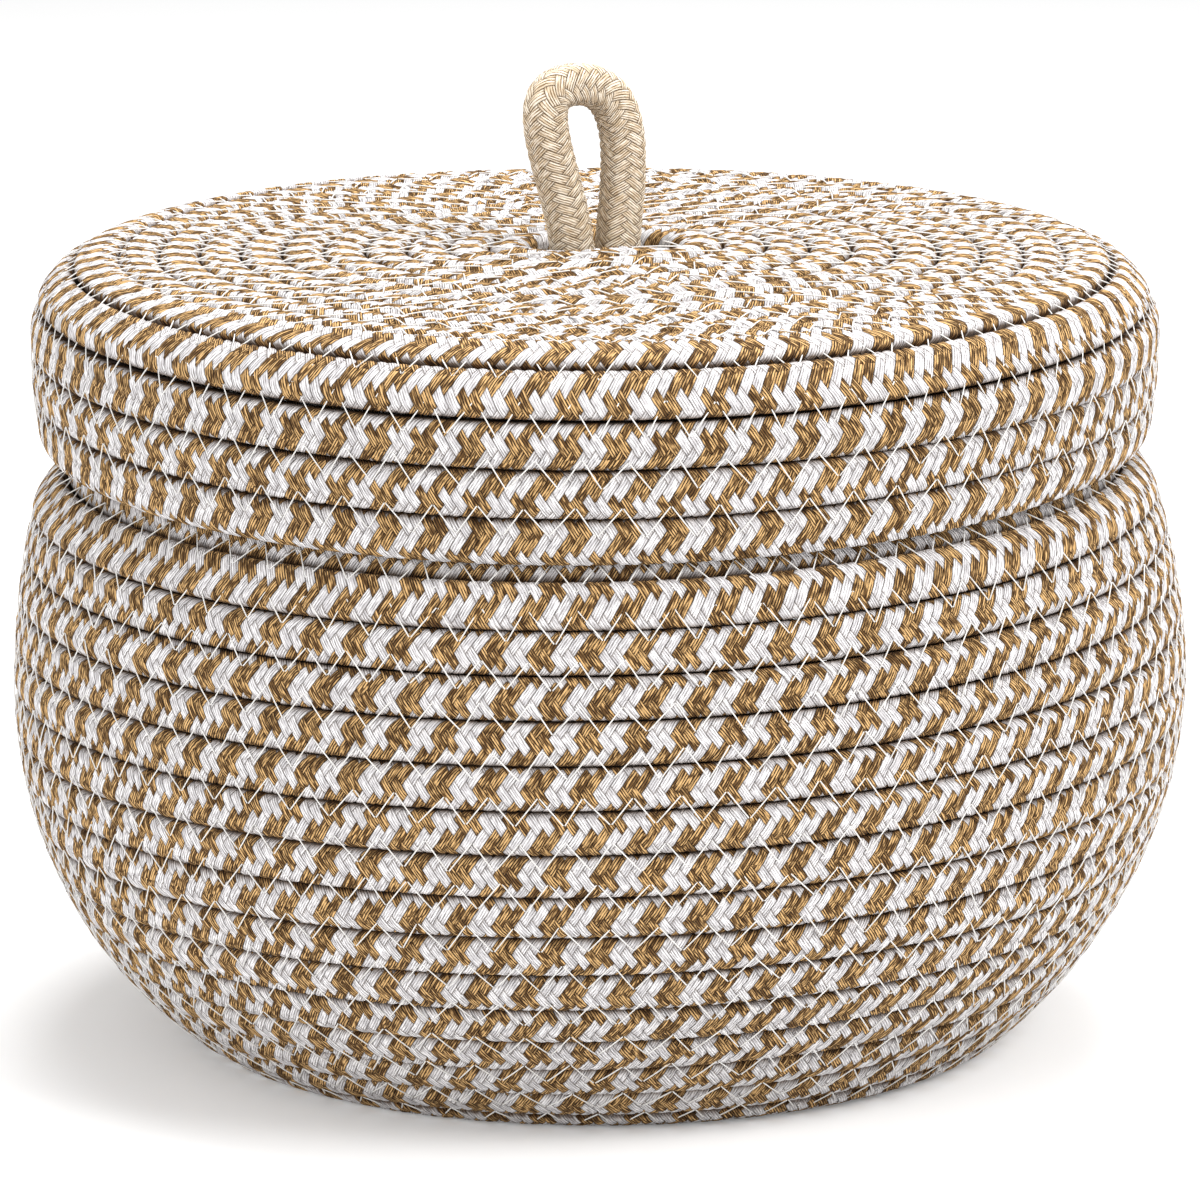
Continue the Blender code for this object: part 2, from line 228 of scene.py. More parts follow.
# Camera and light
SENSOR_WIDTH = 36.0         # in millimetres, as is the lens
LENS = 203.4
CLIP_START = 0.05
CLIP_END = 20.0
CAMERA_PLACE = (0.0, -1.6034, 0.4562)
CAMERA_PITCH = 0.21678      # downward from level
LAMP_TARGET = (0, 0, 0.1)
LAMPS = (                   # name, place, size and power
    ("key", (1.3, -0.75, 1.35), 0.9, 27),
    ("top", (0.1, 0.35, 1.6), 1.0, 27),
    ("fill", (-1.5, -1.3, 0.7), 1.2, 18),
)
WHITE = (1.0, 1.0, 1.0, 1.0)
WORLD_LIGHT = 0.62
FLOOR_SIZE = 8.0
FLOOR_DROP = 0.0002         # under the basket, so that the two don't lie in one plane
FLOOR_COLOUR = (0.86, 0.86, 0.86, 1.0)
FLOOR_GLOW = 0.17           # which only the camera sees


def walk(start_radius, start_height, arcs, run):
    """Radius, height, heading and bend after each run along the outline's arcs."""
    radius = np.full_like(run, start_radius)
    height = np.full_like(run, start_height)
    heading = np.full_like(run, math.radians(arcs[0][1]))
    bends = np.zeros_like(run)
    left = run.copy()
    for length, first, last in arcs:
        step = np.clip(left, 0, length)
        before = math.radians(first)
        bend = math.radians(last - first) / length
        turned = before + bend * step
        if bend:
            radius += (np.sin(turned) - math.sin(before)) / bend
            height -= (np.cos(turned) - math.cos(before)) / bend
        else:
            radius += step * math.cos(before)
            height += step * math.sin(before)
        heading = np.where(left > 0, turned, heading)
        nearness = np.clip(np.minimum(left, length - left) / BEND_EASE + 0.5, 0, 1)
        bends += bend * nearness
        left = left - length
    return radius, height, heading, bends


def level_rows(turn, spiral_until):
    """Rows passed at each turn: a plain spiral first, then level rows that climb at the back."""
    row = np.floor(turn)
    share = turn - row
    blend = np.clip((turn - spiral_until) / LEVEL_TURNS, 0, 1)
    climb = np.clip((share - BACK_SHARE) / CLIMB_SHARE + BACK_SHARE, 0, 1)
    return row + (1 - blend) * share + blend * climb


def unit(vectors):
    """Each vector at a length of one."""
    return vectors / np.linalg.norm(vectors, axis=-1, keepdims=True)


def dot(first, second):
    """The scalar product of each pair of vectors."""
    return (first * second).sum(-1, keepdims=True)


def ring_frame(radius, height, heading, angle, shift, outer_side):
    """Middle of the rope, its outer side and the way to its next row."""
    out = np.stack([np.cos(angle), np.sin(angle), np.zeros_like(angle)], -1)
    up = np.array([0.0, 0.0, 1.0])
    middle = radius[:, None] * out + height[:, None] * up
    middle[:, 0] += shift
    onward = np.cos(heading)[:, None] * out + np.sin(heading)[:, None] * up
    outward = (np.sin(heading)[:, None] * out - np.cos(heading)[:, None] * up) * outer_side
    return middle, outward, onward


def basket_run(turn):
    """Run along the outline at each turn of the basket's rope."""
    run = FOOT_RUN + level_rows(turn, 0.0) * ROW_PITCH
    bow = np.clip((run - BASKET_LIFT_START) / BASKET_LIFT_RUN, 0, 1)
    return run + BASKET_SIDE_LIFT * bow * np.cos(math.radians(FRONT_ANGLE) + turn * math.tau) ** 2


def lid_run(turn):
    """The same for the lid's rope."""
    run = LID_RUN + level_rows(turn, -LID_TURNS) * LID_ROW_PITCH
    run = run + SKIRT_DROP * np.maximum(1 - (LID_RUN - run) / SKIRT_DROP_RUN, 0)
    angle = math.radians(FRONT_ANGLE) - turn * math.tau
    return run * (1 - LID_SIDE_LIFT / LID_RUN * np.cos(angle) ** 2)


def room_at(run_at, turn):
    """Distance from row to row, over the usual one."""
    return (run_at(turn + 1) - run_at(turn - 1)) / (2 * ROW_PITCH)


def basket_frame(turn):
    """Where the basket's rope runs at each turn, and its rows' bend and room."""
    angle = math.radians(FRONT_ANGLE) + turn * math.tau
    run = basket_run(turn)
    room = room_at(basket_run, turn)
    shift = TOP_SHIFT * np.clip((run - SHIFT_START) / SHIFT_RUN, 0, 1)
    radius, height, heading, bend = walk(BASKET_START_RADIUS, BASE_HEIGHT, BASKET_ARCS, run)
    tilt = ROW_TILT * radius * np.cos(angle)
    fade = np.clip(height / TILT_FROM, 0, 1) * np.clip((TILT_UNTIL - height) / TILT_FROM, 0, 1)
    return *ring_frame(radius, height + tilt * fade, heading, angle, shift, 1), bend, room


def lid_frame(turn):
    """The same for the lid's rope, which winds the other way round."""
    angle = math.radians(FRONT_ANGLE) - turn * math.tau
    flat_run = LID_RUN + level_rows(turn, -LID_TURNS) * LID_ROW_PITCH
    oval = HOLE_SQUEEZE * np.maximum(1 - flat_run / SQUEEZE_RUN, 0)
    run = lid_run(turn)
    room = room_at(lid_run, turn)
    radius, height, heading, bend = walk(LID_START_RADIUS, LID_MIDDLE_HEIGHT, LID_ARCS, run)
    radius = radius - oval * np.sin(angle - math.radians(HANDLE_ANGLE)) ** 2
    tilt = LID_TILT * radius * np.cos(angle) * np.clip((LID_TILT_HEIGHT - height) / TILT_FROM, 0, 1)
    tilt = tilt + LID_BACK_LIFT / 2 * radius * np.sin(angle) / LID_FLAT_RADIUS
    return *ring_frame(radius, height + tilt, heading, angle, TOP_SHIFT, -1), -bend, room


class Route:
    """A rope's middle line, read by its length."""

    def __init__(self, frame_at, first, last, seed):
        self.frame_at, self.first, self.last = frame_at, first, last
        self.turns = np.linspace(first, last, int((last - first) * ROUTE_STEPS))
        middles = frame_at(self.turns)[0]
        steps = np.linalg.norm(np.diff(middles, axis=0), axis=1)
        self.lengths = np.concatenate([[0.0], np.cumsum(steps)])
        self.length = self.lengths[-1]
        self.seed = seed

    def turn_at(self, length):
        return np.interp(length, self.lengths, self.turns)

    def length_at(self, turn):
        return np.interp(turn, self.turns, self.lengths)

    def twist(self, length):
        """How far the rope has rolled about its middle line, in turns."""
        waves = sum(turns * np.sin(length * pace + self.seed * start) for turns, pace, start in ROLL_WAVES)
        return self.seed + ROLL * length + waves

    def places(self, length):
        """The rope's middle line, outer side and way to the next row, and the rows' bend and room."""
        turn = self.turn_at(length)
        middle, outward, onward, bend, room = self.frame_at(turn)
        ahead = unit(self.frame_at(turn + SMALL_TURN)[0] - self.frame_at(turn - SMALL_TURN)[0])
        onward = unit(onward - ahead * dot(onward, ahead))
        outward = unit(outward - ahead * dot(outward, ahead) - onward * dot(outward, onward))
        return turn, middle, outward, onward, bend, room


def braid_relief(across, along):
    """Height of the braid where strands one way are numbered by across and the others by along."""
    here, there = np.round(across), np.round(along)
    rise = np.cos((here + along - 0.5) * math.pi / FLOAT)
    fall = np.cos((there + across - FLOAT - 0.5) * math.pi / FLOAT)
    rise = STRAND_SWELL * np.sign(rise) * np.abs(rise) ** STRAND_FLATNESS
    fall = STRAND_SWELL * np.sign(fall) * np.abs(fall) ** STRAND_FLATNESS
    rise = rise - STRAND_ROUNDING * (2 * np.abs(across - here)) ** STRAND_EDGE_POWER
    fall = fall - STRAND_ROUNDING * (2 * np.abs(along - there)) ** STRAND_EDGE_POWER
    return np.maximum(rise, fall)


def folded_map(ring, last_ring, side, sides, step_ratio):
    """A tube's skin laid out as strips one above another, so that it fills a square."""
    strips = max(1, round(math.sqrt(last_ring * step_ratio / sides)))
    rings = math.ceil(last_ring / strips)
    strip = ring.min(1, keepdims=True) // rings
    x = (ring - strip * rings) / rings * MAP_FILL
    y = (strip + side / sides * MAP_FILL) / strips
    return np.stack([x, y], -1).reshape(-1, 2)


def cap_maps(corners):
    """Two small discs beside the strips, for a tube's end caps."""
    angle = math.tau * np.arange(corners) / corners
    disc = np.stack([np.cos(angle), np.sin(angle)], -1) * (1 - MAP_FILL) / 3
    return [disc + (1 - (1 - MAP_FILL) / 2, height) for height in CAP_SHARES]


def make_mesh(name, points, quads, caps, maps, material, shut=None):
    """A mesh of quads with flat end caps and its texture maps, which hold two numbers a corner.

    shut says how far in between its neighbours each point lies, from 0 to 1.
    """
    mesh = bpy.data.meshes.new(name)
    corners = np.concatenate([quads.ravel(), *[np.asarray(cap) for cap in caps]]).astype(np.int32)
    sizes = np.concatenate([np.full(len(quads), 4), [len(cap) for cap in caps]]).astype(np.int32)
    starts = np.concatenate([[0], np.cumsum(sizes)[:-1]]).astype(np.int32)
    mesh.vertices.add(len(points))
    mesh.vertices.foreach_set("co", points.astype(np.float32).ravel())
    mesh.loops.add(len(corners))
    mesh.loops.foreach_set("vertex_index", corners)
    mesh.polygons.add(len(sizes))
    mesh.polygons.foreach_set("loop_start", starts)
    mesh.polygons.foreach_set("loop_total", sizes)
    mesh.update(calc_edges=True)
    for map_name, places in maps.items():
        layer = mesh.uv_layers.new(name=map_name)
        layer.uv.foreach_set("vector", places.astype(np.float32).ravel())
    if shut is not None:
        layer = mesh.attributes.new("shut", "FLOAT", "POINT")
        layer.data.foreach_set("value", shut.astype(np.float32).ravel())
    mesh.shade_smooth()
    mesh.materials.append(material)
    piece = bpy.data.objects.new(name, mesh)
    bpy.context.scene.collection.objects.link(piece)
    return piece


def even_angle(share, thickness, width):
    """Angles round a rope's section for shares that lie evenly along its outline."""
    angle = np.linspace(0, math.tau, SECTION_STEPS)
    cosine, sine = np.cos(angle), np.sin(angle)
    power = 2 / ROPE_SQUARENESS
    outline = np.stack([thickness * np.sign(cosine) * np.abs(cosine) ** power,
                        width * np.sign(sine) * np.abs(sine) ** power], -1)
    lengths = np.concatenate([[0.0], np.cumsum(np.linalg.norm(np.diff(outline, axis=0), axis=1))])
    return np.interp(share % 1, lengths / lengths[-1], angle)


def braid_step():
    """Length along a rope from one ring of its mesh to the next."""
    return LEAD / (STRANDS * 2 * STRAND_STEPS)


def braid_tube(name, first, middle, outward, onward, twist, thickness, width, limits, bend, material):
    """A braided rope round a list of places that lie one mesh step apart.

    thickness and width are half sizes across it, and limits are the flats where neighbours press on it.
    Where the rows bend, the rope is wider on the outer side and fills the space between them.
    """
    rings = len(middle)
    columns = STRANDS * 2 * STRAND_STEPS
    half = 2 * STRAND_STEPS
    repeat = 2 * FLOAT * half
    count = first % repeat + np.arange(rings)
    column = np.arange(columns)
    across = (column[None, :] - count[:, None]) / half
    along = (column[None, :] + count[:, None]) / half
    round_share = column[None, :] / columns + twist[:, None]
    round_angle = even_angle(round_share, thickness.max(), width.max())
    cosine, sine = np.cos(round_angle), np.sin(round_angle)
    power = 2 / ROPE_SQUARENESS
    relief = braid_relief(across, along)
    outer = thickness[:, None] * np.sign(cosine) * np.abs(cosine) ** power + relief * cosine
    wide = width[:, None] * np.sign(sine) * np.abs(sine) ** power + relief * sine
    wide = np.clip(wide, -limits[0][:, None], limits[1][:, None])
    shut = np.maximum(wide / limits[1][:, None], -wide / limits[0][:, None])
    wide = wide * (1 + outer * bend[:, None])
    points = middle[:, None] + outer[..., None] * outward[:, None] + wide[..., None] * onward[:, None]
    points[..., 2] = np.maximum(points[..., 2], 0.0)

    ring_at, column_at = np.meshgrid(np.arange(rings - 1), np.arange(columns), indexing="ij")
    here = np.round((column_at - count[:-1, None]) / half)
    there = np.round((column_at + 1 + count[:-1, None]) / half)
    starts = np.where((here + there) % (2 * FLOAT) < FLOAT, 0, 1).reshape(-1, 1)
    turned = (np.arange(4) + starts) % 4
    corner_ring = ring_at.reshape(-1, 1) + np.array([0, 0, 1, 1])[turned]
    corner_column = column_at.reshape(-1, 1) + np.array([0, 1, 1, 0])[turned]
    quads = corner_ring * columns + corner_column % columns
    corner_count = count[0] + corner_ring
    braid = np.stack([corner_column - corner_count, corner_column + corner_count], -1) / half
    caps = [column[::-1], (rings - 1) * columns + column]
    braid = np.concatenate([braid.reshape(-1, 2), np.full((2 * columns, 2), 0.5)])
    strips = folded_map(corner_ring, rings - 1, corner_column, columns, STRIP_STRETCH)
    maps = {"braid": braid, BAKE_MAP: np.concatenate([strips, *cap_maps(columns)])}
    return make_mesh(name, points.reshape(-1, 3), quads, caps, maps, material, shut)


def rope_piece(name, route, start, end, material):
    """The mesh of one stretch of a coiled rope, between two lengths along its route."""
    step = braid_step()
    first, last = round(start / step), round(end / step)
    length = np.clip(np.arange(first, last + 1) * step, 0, route.length)
    turn, middle, outward, onward, bend, room = route.places(length)
    from_end = np.minimum(length, route.length - length)
    share = END_SHARE + (1 - END_SHARE) * np.sqrt(np.clip(from_end / END_TAPER, 0, 1))
    thickness = ROPE_HALF_THICKNESS * share
    width = ROPE_HALF_WIDTH * share * room
    towards = np.where(length < route.length / 2, 1, -1)
    middle = middle + onward * (towards * (1 - share) * ROPE_HALF_WIDTH)[:, None]
    free = 2 * ROPE_HALF_WIDTH
    limits = (
        np.where(turn - 1 >= route.first, PRESSED_HALF_WIDTH * room, free),
        np.where(turn + 1 <= route.last, PRESSED_HALF_WIDTH * room, free),
    )
    return braid_tube(name, first, middle, outward, onward, route.twist(length),
                      thickness, width, limits, bend, material)


def thin_tube(name, points, side_ways, radius, sides, material):
    """A plain tube along points; side_ways is a direction that is never along it."""
    ahead = unit(np.gradient(points, axis=0))
    second = unit(np.cross(ahead, side_ways))
    third = np.cross(second, ahead)
    angle = math.tau * np.arange(sides) / sides
    ring = (np.cos(angle)[None, :, None] * second[:, None] + np.sin(angle)[None, :, None] * third[:, None])
    surface = points[:, None] + radius * ring
    ring_at, side_at = np.meshgrid(np.arange(len(points) - 1), np.arange(sides), indexing="ij")
    after = (side_at + 1) % sides
    quads = np.stack([ring_at * sides + side_at, (ring_at + 1) * sides + side_at,
                      (ring_at + 1) * sides + after, ring_at * sides + after], -1).reshape(-1, 4)
    caps = [np.arange(sides), (len(points) - 1) * sides + np.arange(sides)[::-1]]
    corner_ring = ring_at.reshape(-1, 1) + np.array([0, 1, 1, 0])
    corner_side = side_at.reshape(-1, 1) + np.array([0, 0, 1, 1])
    strips = folded_map(corner_ring, len(points) - 1, corner_side, sides, THREAD_STRETCH)
    maps = {BAKE_MAP: np.concatenate([strips, *cap_maps(sides)])}
    return make_mesh(name, surface.reshape(-1, 3), quads, caps, maps, material)


def zigzag_thread(name, route, first, last, side, random, material):
    """The sewing thread over the line between the rows from first to last and the rows after them."""
    start, end = route.length_at(first), route.length_at(min(last, route.last - 1))
    count = int((end - start) / (STITCH_LENGTH / 2))
    length = start + np.arange(count) * STITCH_LENGTH / 2 + random.uniform(-1, 1, count) * STITCH_UNEVENNESS
    upper = np.arange(count) % 2
    row_length = np.where(upper == 1, route.length_at(route.turn_at(length) + 1), length)
    _, middle, outward, onward, _, room = route.places(row_length)
    phases = random.uniform(0, math.tau, len(DRIFT_WAVES))
    waves = sum(size * np.sin(length * pace + phase) for (pace, size), phase in zip(DRIFT_WAVES, phases))
    drift = STITCH_DRIFT * waves / sum(size for pace, size in DRIFT_WAVES)
    reach = ROW_PITCH / 2 * room - STITCH_REACH + random.uniform(-1, 1, count) * HOLE_UNEVENNESS
    reach = reach * np.where(upper == 1, -1, 1) + drift
    hole = middle + onward * reach[:, None] + outward * side * STITCH_HEIGHT
    dive = outward * side
    onto, back = unit(hole[1:] - hole[:-1]), unit(hole[:-1] - hole[1:])
    leave = hole[:-1] + onto * THREAD_BEND
    arrive = hole[1:] + back * THREAD_BEND
    middle_point = (leave + arrive) / 2 + (dive[:-1] + dive[1:]) / 2 * THREAD_BULGE
    deep = hole[:-1] - dive[:-1] * HOLE_DEPTH
    points = np.stack([deep, leave, middle_point, arrive], 1).reshape(-1, 3)
    points[:, 2] = np.maximum(points[:, 2], 0.0)
    side_ways = np.repeat(dive[:-1], len(points) // len(deep), axis=0)
    return thin_tube(name, points, side_ways, THREAD_RADIUS, THREAD_SIDES, material)


class Number:
    """A value in a material's nodes that is reckoned with like a number."""

    def __init__(self, tree, socket):
        self.tree, self.socket = tree, socket

    def math(self, operation, *others):
        node = self.tree.nodes.new("ShaderNodeMath")
        node.operation = operation
        for slot, value in enumerate((self, *others)):
            if isinstance(value, Number):
                self.tree.links.new(value.socket, node.inputs[slot])
            else:
                node.inputs[slot].default_value = value
        return Number(self.tree, node.outputs[0])

    def __add__(self, other):
        return self.math("ADD", other)

    def __sub__(self, other):
        return self.math("SUBTRACT", other)

    def __mul__(self, other):
        return self.math("MULTIPLY", other)

    def __mod__(self, other):
        return self.math("FLOORED_MODULO", other)

    def below(self, other):
        return self.math("LESS_THAN", other)

    def absolute(self):
        return self.math("ABSOLUTE")

    def rounded(self):
        return self.math("ROUND")

    def cosine(self):
        return self.math("COSINE")

    def power(self, other):
        return self.math("POWER", other)


def pick(share, low, high):
    """low where the share is 0 and high where it is 1."""
    node = share.tree.nodes.new("ShaderNodeMix")
    node.data_type = "FLOAT"
    share.tree.links.new(share.socket, node.inputs[0])
    for slot, value in ((2, low), (3, high)):
        if isinstance(value, Number):
            share.tree.links.new(value.socket, node.inputs[slot])
        else:
            node.inputs[slot].default_value = value
    return Number(share.tree, node.outputs[0])


def pick_colour(share, low, high, blend="MIX"):
    """A colour from low to high by the share."""
    node = share.tree.nodes.new("ShaderNodeMix")
    node.data_type = "RGBA"
    node.blend_type = blend
    share.tree.links.new(share.socket, node.inputs[0])
    for slot, value in ((6, low), (7, high)):
        if isinstance(value, bpy.types.NodeSocket):
            share.tree.links.new(value, node.inputs[slot])
        else:
            node.inputs[slot].default_value = (*value, 1.0)
    return node.outputs[2]


def noise(tree, places, detail):
    """Noise over three numbers, about 0.5."""
    join = tree.nodes.new("ShaderNodeCombineXYZ")
    for slot, value in enumerate(places):
        if isinstance(value, Number):
            tree.links.new(value.socket, join.inputs[slot])
        else:
            join.inputs[slot].default_value = value
    node = tree.nodes.new("ShaderNodeTexNoise")
    node.inputs["Scale"].default_value = 1.0
    node.inputs["Detail"].default_value = detail
    tree.links.new(join.outputs[0], node.inputs["Vector"])
    return Number(tree, node.outputs["Fac"])


def new_material(name, roughness):
    """A matt material, its node tree and its shader."""
    material = bpy.data.materials.new(name)
    material.use_nodes = True
    shader = material.node_tree.nodes["Principled BSDF"]
    shader.inputs["Roughness"].default_value = roughness
    shader.inputs["Specular IOR Level"].default_value = COTTON_SHEEN
    return material, material.node_tree, shader


def strand_noise(tree, places, scales, detail):
    """Noise over a place in a strand, with a scale for each of its three numbers."""
    return noise(tree, [place * scale for place, scale in zip(places, scales)], detail)


def braid_place(tree):
    """How far across and along the braid a point lies, in strands, with a little straying."""
    reader = tree.nodes.new("ShaderNodeUVMap")
    reader.uv_map = "braid"
    split = tree.nodes.new("ShaderNodeSeparateXYZ")
    tree.links.new(reader.outputs[0], split.inputs[0])
    places = [Number(tree, split.outputs[0]), Number(tree, split.outputs[1])]
    for slot, slice_at in enumerate(STRAY_SLICES):
        stray = noise(tree, (places[0] * STRAY_SCALE, places[1] * STRAY_SCALE, slice_at), 1.0)
        places[slot] = places[slot] + (stray - 0.5) * STRAND_STRAY
    return places


def braided_material(name, light, dark, light_yarn, dark_yarn):
    """Cotton braid whose strands change colour two by two.

    light and dark each hold a low colour, a high colour and the painted shade in the grooves between
    yarns, and the yarn values say how far that painted shade shows.
    """
    material, tree, shader = new_material(name, COTTON_ROUGHNESS)
    across, along = braid_place(tree)
    here, there = across.rounded(), along.rounded()
    risen = ((here + there + SAFE_SHARE) % (2 * FLOAT)).below(FLOAT)
    strand = pick(risen, there + COLOUR_LAG, here)
    side = pick(risen, along - there, across - here)
    onward = pick(risen, across, along)
    float_place = pick(risen, ((there + across - 0.5) % (2 * FLOAT)) - FLOAT,
                       ((here + along + FLOAT - 0.5) % (2 * FLOAT)) - FLOAT)
    # painted shade lines along a strand's edges and at its ends, where it dives under the others
    edge = (side.absolute() * 2).power(SEAM_POWER)
    crease = float_place.absolute().power(SEAM_POWER)
    tone = (strand % (2 * FLOAT)).below(FLOAT - 0.5)

    place = (side, onward, strand)
    wander = strand_noise(tree, place, *YARN_WANDER)
    yarn_place = side * YARNS + (wander - 0.5) * YARN_STRAY
    valley = ((yarn_place * math.tau).cosine() * 0.5 + 0.5).power(VALLEY_POWER)
    strength = strand_noise(tree, (yarn_place, onward, strand), *VALLEY_STRENGTH)
    yarn = strand_noise(tree, ((yarn_place - 0.5).rounded(), onward, strand), *YARN_TONE)
    fibre = strand_noise(tree, place, *FIBRE_TONE)
    fleck = strand_noise(tree, place, *FLECK_TONE)
    gloss = (fibre - 0.5) * FIBRE_CONTRAST + (yarn - 0.5) * YARN_CONTRAST
    gloss = gloss + (fleck - 0.5) * FLECK_CONTRAST + 0.5
    # painted shade in the grooves between yarns, which also sinks them in the bump
    dent = valley * (strength - VALLEY_FROM) * VALLEY_CONTRAST
    light_colour = pick_colour(dent * light_yarn, pick_colour(gloss, *light[:2]), light[2])
    dark_colour = pick_colour(dent * dark_yarn, pick_colour(gloss, *dark[:2]), dark[2])
    colour = pick_colour(tone, dark_colour, light_colour)

    # painted shade in the gap between rows, darkest where a rope is pressed against its neighbour
    reader = tree.nodes.new("ShaderNodeAttribute")
    reader.attribute_name = "shut"
    between = Number(tree, reader.outputs["Fac"]).power(GAP_POWER)
    # painted shade: the colour darkens in strand seams, at float ends and in the gap between rows
    shut = (edge * EDGE_SHADE).math("MAXIMUM", crease * CREASE_SHADE)
    shut = shut.math("MAXIMUM", between * GAP_SHADE)
    colour = pick_colour(shut, colour, PAINTED_SHADE_COLOUR, "MULTIPLY")
    tree.links.new(colour, shader.inputs["Base Color"])

    bump = tree.nodes.new("ShaderNodeBump")
    bump.inputs["Distance"].default_value = BUMP_DEPTH
    bump.inputs["Strength"].default_value = 1.0
    height = fibre * FIBRE_BUMP - dent * VALLEY_BUMP - edge * SEAM_BUMP - crease * SEAM_BUMP
    tree.links.new(height.socket, bump.inputs["Height"])
    tree.links.new(bump.outputs[0], shader.inputs["Normal"])
    return material


def thread_material(name, low, high):
    """Plain sewing thread."""
    material, tree, shader = new_material(name, THREAD_ROUGHNESS)
    place = tree.nodes.new("ShaderNodeTexCoord")
    grain = tree.nodes.new("ShaderNodeTexNoise")
    grain.inputs["Scale"].default_value = THREAD_GRAIN
    tree.links.new(place.outputs["Object"], grain.inputs["Vector"])
    tree.links.new(pick_colour(Number(tree, grain.outputs["Fac"]), low, high), shader.inputs["Base Color"])
    return material


def loop_line(share):
    """The loop's middle line, from the foot at -X over the top to the foot at +X."""
    side = np.where(share < 0.5, -1.0, 1.0)
    rise = 1 - np.abs(2 * share - 1)
    fall = 1 - rise
    weights = (fall ** 3, 3 * rise * fall ** 2, 3 * rise ** 2 * fall, rise ** 3)
    across = sum(w * x for w, x in zip(weights, (FOOT_SPACING / 2, FOOT_SPACING / 2, LOOP_BULGE, 0.0)))
    up = sum(w * z for w, z in zip(weights, (0.0, LOOP_WAIST, LOOP_HEIGHT, LOOP_HEIGHT)))
    turned = math.radians(HANDLE_ANGLE)
    lean = LOOP_LEAN * (up / LOOP_HEIGHT) ** 2
    return np.stack([TOP_SHIFT + side * across * math.cos(turned) - lean,
                     side * across * math.sin(turned), LID_MIDDLE_HEIGHT + up], -1)


def even_line(points, step):
    """Points one step apart along a line."""
    lengths = np.concatenate([[0.0], np.cumsum(np.linalg.norm(np.diff(points, axis=0), axis=1))])
    places = np.arange(int(lengths[-1] / step) + 1) * step
    return np.stack([np.interp(places, lengths, points[:, axis]) for axis in range(3)], -1)


def smooth_line(points):
    """A smooth curve through given points."""
    points = np.asarray(points, float)
    ends = np.concatenate([[2 * points[0] - points[1]], points, [2 * points[-1] - points[-2]]])
    t = np.linspace(0, 1, LINE_PARTS, endpoint=False)[:, None]
    pieces = []
    for a, b, c, d in zip(ends, ends[1:], ends[2:], ends[3:]):
        pieces.append(0.5 * (2 * b + (c - a) * t + (2 * a - 5 * b + 4 * c - d) * t ** 2
                             + (3 * b - 3 * c + d - a) * t ** 3))
    return np.concatenate([*pieces, points[-1:]])


def carried_frames(line, first_side):
    """Two directions square to a line, carried along it without twisting."""
    ahead = unit(np.gradient(line, axis=0))
    side = np.asarray(first_side, float)
    sides = []
    for way in ahead:
        side = side - way * (side @ way)
        side = side / np.linalg.norm(side)
        sides.append(side)
    sides = np.array(sides)
    return sides, np.cross(ahead, sides)


def cord_piece(name, line, first_side, radius, material):
    """Braided cord along a line; radius is one number for each of its points."""
    sides, others = carried_frames(line, first_side)
    free = 2 * radius
    twist = CORD_ROLL_START + CORD_ROLL * np.arange(len(line)) * braid_step()
    no_bend = np.zeros(len(line))
    return braid_tube(name, 0, line, sides, others, twist, radius, radius, (free, free), no_bend, material)


def make_handle(material):
    """The cord loop, with its legs through the lid's middle hole."""
    shares = np.linspace(0, 1, LOOP_STEPS)
    loop = loop_line(shares)
    below = np.array([0, 0, -SOLID_ROPE_RADIUS])
    line = even_line(np.concatenate([[loop[0] + below], loop, [loop[-1] + below]]), braid_step())
    turned = math.radians(HANDLE_ANGLE)
    radius = np.full(len(line), CORD_RADIUS - STRAND_SWELL / 2)
    return cord_piece("handle_cord", line, (-math.sin(turned), math.cos(turned), 0), radius, material)


def shrink_map(piece, column, row, cells):
    """Moves a piece's texture map into one cell of a square of cells."""
    layer = piece.data.uv_layers[BAKE_MAP]
    places = np.empty(2 * len(layer.uv), np.float32)
    layer.uv.foreach_get("vector", places)
    places = (places.reshape(-1, 2) + (column, row)) / cells
    layer.uv.foreach_set("vector", places.ravel())


def joined(name, pieces):
    """One object from several."""
    bpy.ops.object.select_all(action="DESELECT")
    for piece in pieces:
        piece.select_set(True)
    bpy.context.view_layer.objects.active = pieces[0]
    bpy.ops.object.join()
    pieces[0].name = name
    return pieces[0]


def knot_place(along, across, drop):
    """A place in the knot: along the loop's two legs, across them, and down from the knot's top."""
    turned = math.radians(HANDLE_ANGLE)
    return (TOP_SHIFT + along * math.cos(turned) - across * math.sin(turned),
            along * math.sin(turned) + across * math.cos(turned), KNOT_TOP - drop)


def tail_places(side):
    """Where a tail leaves the knot's foot and hangs."""
    for share in TAIL_SHARES:
        along = side * (TAIL_SPACING / 2 + TAIL_SPREAD * share ** TAIL_POWER)
        sway = TAIL_SWAY * math.sin(TAIL_SWAY_PACE * share)
        yield knot_place(along, sway, KNOT_HEIGHT - TAIL_ROOT + TAIL_LENGTH * share)


